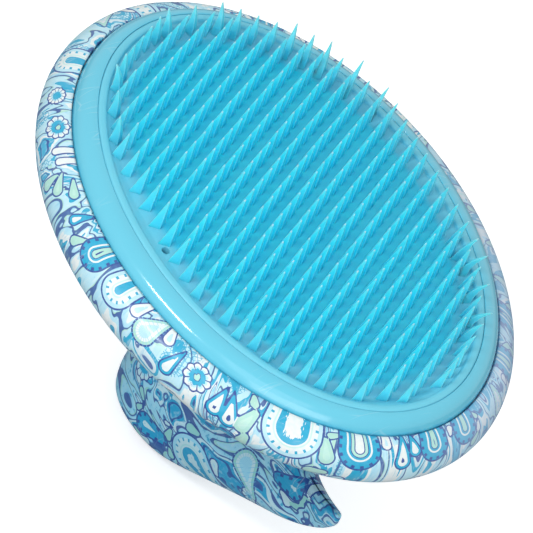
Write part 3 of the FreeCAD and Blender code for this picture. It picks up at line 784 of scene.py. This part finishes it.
# Colours of the print, the tint of its painted reflection and that of its painted shade, then the
# depth in mm that each ramp spans, and the beads and dashes.
ICE = (0.52, 0.80, 0.90)
CHALK = (0.83, 0.88, 0.87)
SKY = (0.26, 0.62, 0.84)
CERULEAN = (0.012, 0.40, 0.64)
INDIGO = (0.03, 0.075, 0.32)
MINT = (0.45, 0.75, 0.65)
# painted reflection: the pale lavender the head's far side is mixed towards, for the lacquer's glare
# at a grazing angle
GLARE_LAVENDER = (0.46, 0.58, 0.80)
PALE_MINT = (0.52, 0.80, 0.70)
WASHED_MINT = (0.62, 0.84, 0.80)
SHADE_TINT = (0.36, 0.68, 0.82)
PETAL_SIZE, MOTIF_SIZE = 4.0, 8.0
BEAD_SPACING, BEAD_DEPTH, DASH_DEPTH = 0.46, 1.5, 0.7


def make_wear_group():
    """Faint handling marks: fine scratches, soft smudges and a pebbled grain."""
    tree, build, given, made = new_group(
        "handling_wear",
        {"Place": ("Vector", None), "Scratches": ("Float", 0.5), "Grain": ("Float", 900.0)},
        {"Marks": "Float", "Smudge": "Float", "Pebble": "Float"},
    )
    bent = build.vector("ADD", given["Place"], build.vector(
        "MULTIPLY", build.noise(given["Place"], 40.0, 2.0, output=1), (0.004, 0.004, 0.004)))
    line = build.cell_edge(build.vector("MULTIPLY", bent, (1.0, 0.12, 0.3)), 420.0)
    patch = build.span(build.noise(given["Place"], 90.0, 2.0), 0.56, 0.7)
    marks = build.both(build.span(line, 0.03, 0.0), patch)
    build.feed(made["Marks"], build.both(marks, given["Scratches"]))
    build.feed(made["Smudge"], build.span(build.noise(given["Place"], 55.0, 4.0, 0.4), 0.4, 0.65))
    build.feed(made["Pebble"], build.noise(given["Place"], given["Grain"], 2.0))
    return tree


def make_film_group():
    """The printed film: marbled bands drawn round with ink, then petals, then big drops on top.

    Small and Big hold a motif's signed distance in mm, its border coordinate and its kind, so
    a ramp on the depth inside a motif, as a share of its size, paints it in nested bands.
    """
    tree, build, given, made = new_group(
        "printed_film",
        {
            "Film": ("Vector", None), "Big": ("Vector", None), "Small": ("Vector", None),
            "Bands": ("Float", 6.0), "Line": ("Float", 0.41), "Wash": ("Float", 0.0),
            "Depth": ("Float", 1.0), "Net": ("Float", 0.8), "Streak": ("Float", 0.25),
        },
        {"Color": "Color"},
    )
    film = build.vector("MULTIPLY", given["Film"], (1.0, 1.0, 0.42))

    # marbling: a bent noise filled from the palette by height, with ink lines along its contours
    flow = build.noise(film, 0.105, 2.0, 1.4)
    within = build.math("FRACT", build.both(flow, given["Bands"]))
    fill = build.ramp(flow, [
        (0.0, CERULEAN), (0.385, CHALK), (0.435, ICE), (0.495, MINT), (0.52, ICE),
        (0.575, CERULEAN), (0.62, CHALK), (0.68, SKY),
    ], "CONSTANT")
    fill = build.mix(build.span(within, 0.55, 1.0, 0.0, 0.45), fill, SKY)
    brushed = build.noise(build.vector("MULTIPLY", given["Film"], (2.2, 2.2, 0.4)), 1.0, 2.0)
    fill = build.mix(build.span(brushed, 0.52, 0.72, 0.0, 0.4), fill, CHALK)
    fill = build.mix(build.span(brushed, 0.42, 0.3, 0.0, given["Streak"]), fill, CERULEAN)
    squiggle = build.cell_edge(given["Film"], 1.25)
    speckled = build.math("GREATER_THAN", build.noise(film, 0.09, 1.0), 0.58)
    stitches = build.both(build.span(squiggle, 0.12, 0.07), speckled)
    fill = build.mix(build.both(stitches, given["Net"]), fill, CERULEAN)
    swell = build.both(build.math("SUBTRACT", build.noise(film, 0.4, 1.0), 0.5), 0.16)
    rim = build.math("ADD", build.from_middle(within), swell)
    ink = build.span(rim, given["Line"], build.math("ADD", given["Line"], 0.02))
    ground = build.mix(build.both(ink, 0.92), fill, INDIGO)

    # petals and spears
    small = build.parts(given["Small"])
    deep = build.both(small[0], -1 / PETAL_SIZE)
    mint_petal = build.ramp(deep, [(0.0, INDIGO), (0.075, MINT), (0.26, PALE_MINT)], "CONSTANT")
    white_petal = build.ramp(deep, [(0.0, INDIGO), (0.075, CHALK), (0.24, ICE)], "CONSTANT")
    spear = build.ramp(deep, [
        (0.0, INDIGO), (0.075, CERULEAN), (0.2, CHALK), (0.38, INDIGO),
    ], "CONSTANT")
    petals = build.mix(build.math("COMPARE", small[2], PETAL_WHITE, 0.5), mint_petal, white_petal)
    petals = build.mix(build.math("COMPARE", small[2], SPEAR, 0.5), petals, spear)
    ground = build.mix(build.math("LESS_THAN", small[0], 0.0), ground, petals)

    # big drops, flowers and leaves
    big = build.parts(given["Big"])
    deep = build.both(big[0], -1 / MOTIF_SIZE)
    row = build.from_middle(build.math("FRACT", build.both(big[1], BEAD_SPACING)))
    bead_rise = build.math("ABSOLUTE", build.math("ADD", big[0], BEAD_DEPTH))
    bead = build.both(
        build.math("LESS_THAN", row, 0.15), build.math("LESS_THAN", bead_rise, 0.34))
    band_drop = build.ramp(deep, [
        (0.0, INDIGO), (0.045, ICE), (0.15, CHALK), (0.3, WASHED_MINT), (0.34, CHALK),
        (0.38, CERULEAN), (0.62, INDIGO), (0.66, CHALK), (0.76, SKY), (0.8, CHALK),
    ], "CONSTANT")
    fringe = build.noise(build.vector("MULTIPLY", given["Film"], (3.0, 3.0, 0.7)), 1.0, 1.0)
    frayed = build.math("ADD", deep, build.both(fringe, 0.3))
    ragged = build.both(
        build.math("GREATER_THAN", frayed, 0.72), build.math("GREATER_THAN", deep, 0.4))
    band_drop = build.mix(bead, band_drop, CERULEAN)
    band_drop = build.mix(ragged, band_drop, CHALK)
    ring_drop = build.ramp(deep, [
        (0.0, INDIGO), (0.045, CERULEAN), (0.24, CHALK), (0.29, CERULEAN), (0.34, INDIGO),
        (0.365, MINT), (0.44, INDIGO), (0.465, CHALK),
    ], "CONSTANT")
    dash_rise = build.math("ABSOLUTE", build.math("ADD", big[0], DASH_DEPTH))
    dash = build.both(
        build.math("LESS_THAN", row, 0.2), build.math("LESS_THAN", dash_rise, 0.3))
    ring_drop = build.mix(dash, ring_drop, INDIGO)
    flower = build.ramp(deep, [
        (0.0, INDIGO), (0.04, CHALK), (0.12, ICE), (0.17, CERULEAN), (0.29, INDIGO), (0.31, MINT),
    ], "CONSTANT")
    fold = build.from_middle(build.math("FRACT", big[1]))
    folds = build.both(
        build.math("LESS_THAN", fold, 0.08), build.math("LESS_THAN", deep, 0.18))
    flower = build.mix(folds, flower, INDIGO)
    leaf = build.ramp(deep, [(0.0, INDIGO), (0.045, MINT), (0.12, CHALK), (0.2, ICE)], "CONSTANT")
    hatch = build.math("LESS_THAN", build.math("FRACT", build.both(big[1], 1.1)), 0.2)
    leaf = build.mix(build.both(hatch, 0.6), leaf, SKY)
    motifs = band_drop
    for kind, colours in ((RING_DROP, ring_drop), (FLOWER, flower), (LEAF, leaf)):
        motifs = build.mix(build.math("COMPARE", big[2], kind, 0.5), motifs, colours)
    colour = build.mix(build.math("LESS_THAN", big[0], 0.0), ground, motifs)

    tint = build.noise(given["Film"], 0.9, 3.0)
    colour = build.mix(build.span(tint, 0.35, 0.75, 0.0, 0.16), colour, SKY)
    # painted reflection: mixes the print towards pale lavender by the given share, for the lacquer's
    # glare on the head's far side
    colour = build.mix(given["Wash"], colour, GLARE_LAVENDER)
    # painted shade: a share below one multiplies the print towards a deeper blue, standing for the
    # shade under the head; the grip's print gets it
    shaded = build.mix(1.0, colour, SHADE_TINT, "MULTIPLY")
    build.feed(made["Color"], build.mix(given["Depth"], shaded, colour))
    return tree


# How far light goes into the soft rubber: more for blue than for red.
RUBBER_SCATTER, RUBBER_SCATTER_SCALE = (0.3, 0.9, 1.0), 0.002


def new_material(name):
    """An empty material with a Principled shader; returns it, its builder and the shader."""
    material = bpy.data.materials.new(name)
    material.use_nodes = True
    tree = material.node_tree
    tree.nodes.clear()
    build = Nodes(tree)
    shader = build.add("ShaderNodeBsdfPrincipled")
    output = build.add("ShaderNodeOutputMaterial")
    tree.links.new(shader.outputs[0], output.inputs["Surface"])
    return material, build, shader.inputs


def make_film_material(name, with_glare, **print_values):
    """Lacquered printed film; one with glare turns a paler lavender towards its far side, a painted
    reflection of the lacquer seen at a grazing angle.
    """
    material, build, shader = new_material(name)
    place = build.object_coordinates()
    # painted reflection: none, or a share that rises towards the head's far side, for the lacquer's
    # glare there
    glare = 0.0
    if with_glare:
        x, y, _ = build.parts(place)
        side = build.math("ADD", build.both(x, 0.45), build.both(y, 0.9))
        glare = build.span(side, 0.022, 0.046, 0.0, 0.5)
    film = build.place(
        film_group, Film=build.attribute("film"), Big=build.attribute("big"),
        Small=build.attribute("small"), Wash=glare, **print_values,
    )
    wear = build.place(wear_group, Place=place, Scratches=0.5, Grain=1500.0)
    worn = build.mix(build.both(wear["Marks"], 0.5), film["Color"], CHALK)
    build.feed(shader["Base Color"], worn)
    build.feed(shader["Roughness"], build.span(wear["Smudge"], 0.0, 1.0, 0.34, 0.46))
    build.feed(shader["Coat Weight"], 0.2)
    build.feed(shader["Coat Roughness"], 0.16)
    height = build.math("SUBTRACT", build.both(wear["Pebble"], 0.4), wear["Marks"])
    build.feed(shader["Normal"], build.bump(height, 0.00002))
    return material


def make_bezel_material():
    """Glossy sky-blue moulding with the faint ripple of a moulded skin."""
    material, build, shader = new_material("sky_blue_gloss")
    place = build.object_coordinates()
    wear = build.place(wear_group, Place=place, Scratches=0.35, Grain=1300.0)
    cloud = build.noise(place, 60.0, 2.0)
    clouded = build.span(cloud, 0.35, 0.7, 0.0, 0.25)
    body = build.mix(clouded, (0.12, 0.565, 0.745), (0.145, 0.59, 0.76))
    # painted shade: the colour deepens to a darker blue at the bezel's lower outer edge, where it
    # tucks into the shell's recess
    root = build.span(build.parts(place)[2], 0.0598, 0.0618, 0.75, 0.0)
    body = build.mix(root, body, (0.02, 0.40, 0.66))
    body = build.mix(build.both(wear["Marks"], 0.4), body, CHALK)
    build.feed(shader["Base Color"], body)
    build.feed(shader["Roughness"], build.span(wear["Smudge"], 0.0, 1.0, 0.16, 0.24))
    build.feed(shader["Coat Weight"], 0.7)
    build.feed(shader["Coat Roughness"], 0.06)
    ripple = build.math("ADD", build.noise(place, 240.0, 1.0), build.both(wear["Pebble"], 0.2))
    build.feed(shader["Normal"], build.bump(ripple, 0.00003))
    return material


def make_pad_material():
    """Soft satin rubber of the pad's face: pale at its bare margin, deep cyan in the field."""
    material, build, shader = new_material("soft_rubber_face")
    place = build.object_coordinates()
    wear = build.place(wear_group, Place=place, Scratches=0.1, Grain=2200.0)
    x, y, _ = build.parts(place)
    long_share = build.math("DIVIDE", build.math("SUBTRACT", x, PLAN_X * MM), PLAN_LONG * MM)
    wide_share = build.math("DIVIDE", build.math("SUBTRACT", y, PLAN_Y * MM), PLAN_WIDE * MM)
    long_square = build.math("POWER", long_share, 2.0)
    wide_square = build.math("POWER", wide_share, 2.0)
    reach = build.math("SQRT", build.math("ADD", long_square, wide_square))
    cloud = build.noise(place, 150.0, 3.0)
    clouded = build.span(cloud, 0.3, 0.7, 0.0, 0.4)
    margin = build.mix(clouded, (0.15, 0.60, 0.77), (0.18, 0.63, 0.79))
    among = build.mix(build.span(cloud, 0.3, 0.7), (0.016, 0.68, 0.92), (0.024, 0.73, 0.94))
    inside = build.span(reach, 0.93, 0.86)
    build.feed(shader["Base Color"], build.mix(inside, margin, among))
    build.feed(shader["Roughness"], build.span(wear["Smudge"], 0.0, 1.0, 0.36, 0.48))
    build.feed(shader["Subsurface Weight"], build.both(inside, 0.5))
    build.feed(shader["Subsurface Radius"], RUBBER_SCATTER)
    build.feed(shader["Subsurface Scale"], RUBBER_SCATTER_SCALE)
    build.feed(shader["Normal"], build.bump(wear["Pebble"], 0.00003))
    return material


def make_bristle_material():
    """The bristles: deep cyan roots, paler faces, and thin whitish edges and tips; the whitish edges
    and tips are painted highlights, and the outer rows are painted paler for the light through them.
    """
    material, build, shader = new_material("soft_rubber_bristles")
    place = build.object_coordinates()
    wear = build.place(wear_group, Place=place, Scratches=0.1, Grain=2600.0)
    up, tone, reach = build.parts(build.attribute("bristle"))
    across = build.parts(build.add("ShaderNodeUVMap", uv_map="faces").outputs[0])[0]
    # deep cyan at the roots growing paler up the faces; the whitish last stop at the very tip is a
    # painted highlight
    body = build.ramp(up, [
        (0.0, (0.022, 0.66, 0.88)), (0.35, (0.03, 0.70, 0.90)), (0.7, (0.06, 0.74, 0.92)),
        (0.92, (0.14, 0.78, 0.93)), (0.985, (0.52, 0.86, 0.93)),
    ])
    body = build.mix(build.span(tone, 0.0, 1.0, 0.0, 0.25), body, (0.02, 0.62, 0.86))
    # painted light: bristles towards the edge of the field are paler, for the light that shines
    # through the thin rubber of the outer rows
    body = build.mix(build.span(reach, 0.84, 1.0, 0.0, 0.6), body, (0.16, 0.66, 0.82))
    # painted highlight: the side faces are lightened along their edges, less near the roots, for the
    # highlight on the bristles' rounded edges
    rim = build.span(build.from_middle(across), 0.40, 0.5, 0.0, 0.55)
    edge_highlight = build.both(rim, build.span(up, 0.0, 0.5, 0.35, 1.0))
    body = build.mix(edge_highlight, body, (0.42, 0.80, 0.89))
    build.feed(shader["Base Color"], body)
    build.feed(shader["Roughness"], build.span(wear["Smudge"], 0.0, 1.0, 0.3, 0.42))
    build.feed(shader["Subsurface Weight"], 0.7)
    build.feed(shader["Subsurface Radius"], RUBBER_SCATTER)
    build.feed(shader["Subsurface Scale"], RUBBER_SCATTER_SCALE)
    build.feed(shader["Normal"], build.bump(wear["Pebble"], 0.00002))
    return material


def make_plain_material(name, light, dark, metal, rough):
    """Hidden inner pieces: plain moulded plastic or plated steel with grain and dull patches."""
    material, build, shader = new_material(name)
    place = build.object_coordinates()
    wear = build.place(wear_group, Place=place, Scratches=0.8, Grain=1800.0)
    cloud = build.noise(place, 300.0, 3.0)
    build.feed(shader["Base Color"], build.mix(build.span(cloud, 0.35, 0.7), light, dark))
    build.feed(shader["Metallic"], metal)
    build.feed(shader["Roughness"], build.span(wear["Smudge"], 0.0, 1.0, rough, rough + 0.15))
    build.feed(shader["Normal"], build.bump(wear["Pebble"], 0.00003))
    return material


wear_group = make_wear_group()
film_group = make_film_group()
film_on_head = make_film_material(
    "lacquered_film_head", True, Bands=6.0, Line=0.41, Depth=1.0, Net=0.8, Streak=0.25)
# the grip's print is mostly painted into shade, for the shade it lies in under the head
film_on_grip = make_film_material(
    "lacquered_film_grip", False, Bands=14.0, Line=0.35, Depth=0.3, Net=0.25, Streak=0.9)
make_printed_head(film_on_head)
make_grip(film_on_grip)
make_bezel(make_bezel_material())
make_pad(make_pad_material())
make_bristles(make_bristle_material())

inner_plastic = make_plain_material(
    "inner_frame_plastic", (0.62, 0.68, 0.70), (0.52, 0.60, 0.63), 0.0, 0.45)
plated_steel = make_plain_material(
    "plated_steel", (0.62, 0.63, 0.65), (0.48, 0.49, 0.50), 1.0, 0.28)
for node, material in (
    ("pad_support", inner_plastic), ("grip_screws", plated_steel), ("grip_washers", plated_steel),
):
    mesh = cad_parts[node].data
    mesh.materials.clear()
    mesh.materials.append(material)


# ---------------------------------------------------------------- floor, light and camera

FLOOR_HALF, FLOOR_GLOW = 6.0, 0.45
LENS, SENSOR = 375.65, 36.0
CAMERA_PLACE = (0.506528, -0.595773, 0.752619)
CAMERA_RIGHT, CAMERA_UP = (0.4328, 0.8169, 0.3813), (-0.7630, 0.1067, 0.6375)
CAMERA_BACK = (0.4801, -0.5669, 0.6695)
AIM = (0.0, 0.0, 0.055)
WORLD_COLOUR, WORLD_STRENGTH = (0.99, 1.0, 0.99, 1.0), 0.74

# Lights: name, place, power in watts, width and height in metres.
LIGHTS = (
    ("key", (-0.05, -0.48, 0.49), 1.15, 0.20, 0.07),
    ("fill", (0.50, -0.50, 0.75), 1.0, 0.60, 0.60),
    ("side", (0.70, -0.46, 0.26), 1.9, 0.60, 0.50),
)


def make_floor():
    """A plain floor under the brush: bright to the camera, darker for the light it throws back."""
    material, build, shader = new_material("pale_floor")
    cloud = build.noise(build.object_coordinates(), 3.0, 2.0)
    pale = build.mix(cloud, (0.86, 0.87, 0.88), (0.90, 0.905, 0.91))
    seen = build.add("ShaderNodeLightPath").outputs["Is Camera Ray"]
    build.feed(shader["Base Color"], build.mix(seen, (0.30, 0.33, 0.36), pale))
    build.feed(shader["Roughness"], 0.8)
    build.feed(shader["Emission Color"], (1.0, 1.0, 1.0))
    build.feed(shader["Emission Strength"], build.both(seen, FLOOR_GLOW))
    mesh = bpy.data.meshes.new("floor")
    corners = [(x * FLOOR_HALF, y * FLOOR_HALF, 0) for x, y in ((-1, -1), (1, -1), (1, 1), (-1, 1))]
    mesh.from_pydata(corners, [], [(0, 1, 2, 3)])
    mesh.materials.append(material)
    floor = bpy.data.objects.new("floor", mesh)
    bpy.context.scene.collection.objects.link(floor)


def stand(name, data, place, right, up, back):
    """Adds a light or the camera at a place, with its own axes along right, up and back."""
    item = bpy.data.objects.new(name, data)
    turn = Matrix(np.stack([right, up, back], -1).tolist()).to_4x4()
    turn.translation = place
    item.matrix_world = turn
    bpy.context.scene.collection.objects.link(item)
    return item


def make_light(name, place, energy, width, height):
    """A soft rectangular light at a place, turned towards the brush."""
    data = bpy.data.lights.new(name, "AREA")
    data.shape = "RECTANGLE"
    data.size, data.size_y = width, height
    data.energy = energy
    back = np.subtract(place, AIM)
    back /= np.linalg.norm(back)
    side = np.cross((0, 0, 1), back)
    side /= np.linalg.norm(side)
    stand(name, data, place, side, np.cross(back, side), back)


def make_camera():
    """The camera looks down on the bristles from in front of the beak, on its right."""
    data = bpy.data.cameras.new("camera")
    data.sensor_width = SENSOR
    data.lens = LENS
    data.clip_start, data.clip_end = 0.05, 50.0
    camera = stand("camera", data, CAMERA_PLACE, CAMERA_RIGHT, CAMERA_UP, CAMERA_BACK)
    bpy.context.scene.camera = camera


make_floor()
make_camera()
for name, place, energy, width, height in LIGHTS:
    make_light(name, place, energy, width, height)

world = bpy.data.worlds.new("studio")
world.use_nodes = True
background = world.node_tree.nodes["Background"].inputs
background["Color"].default_value = WORLD_COLOUR
background["Strength"].default_value = WORLD_STRENGTH
bpy.context.scene.world = world
bpy.context.scene.view_settings.view_transform = "Standard"
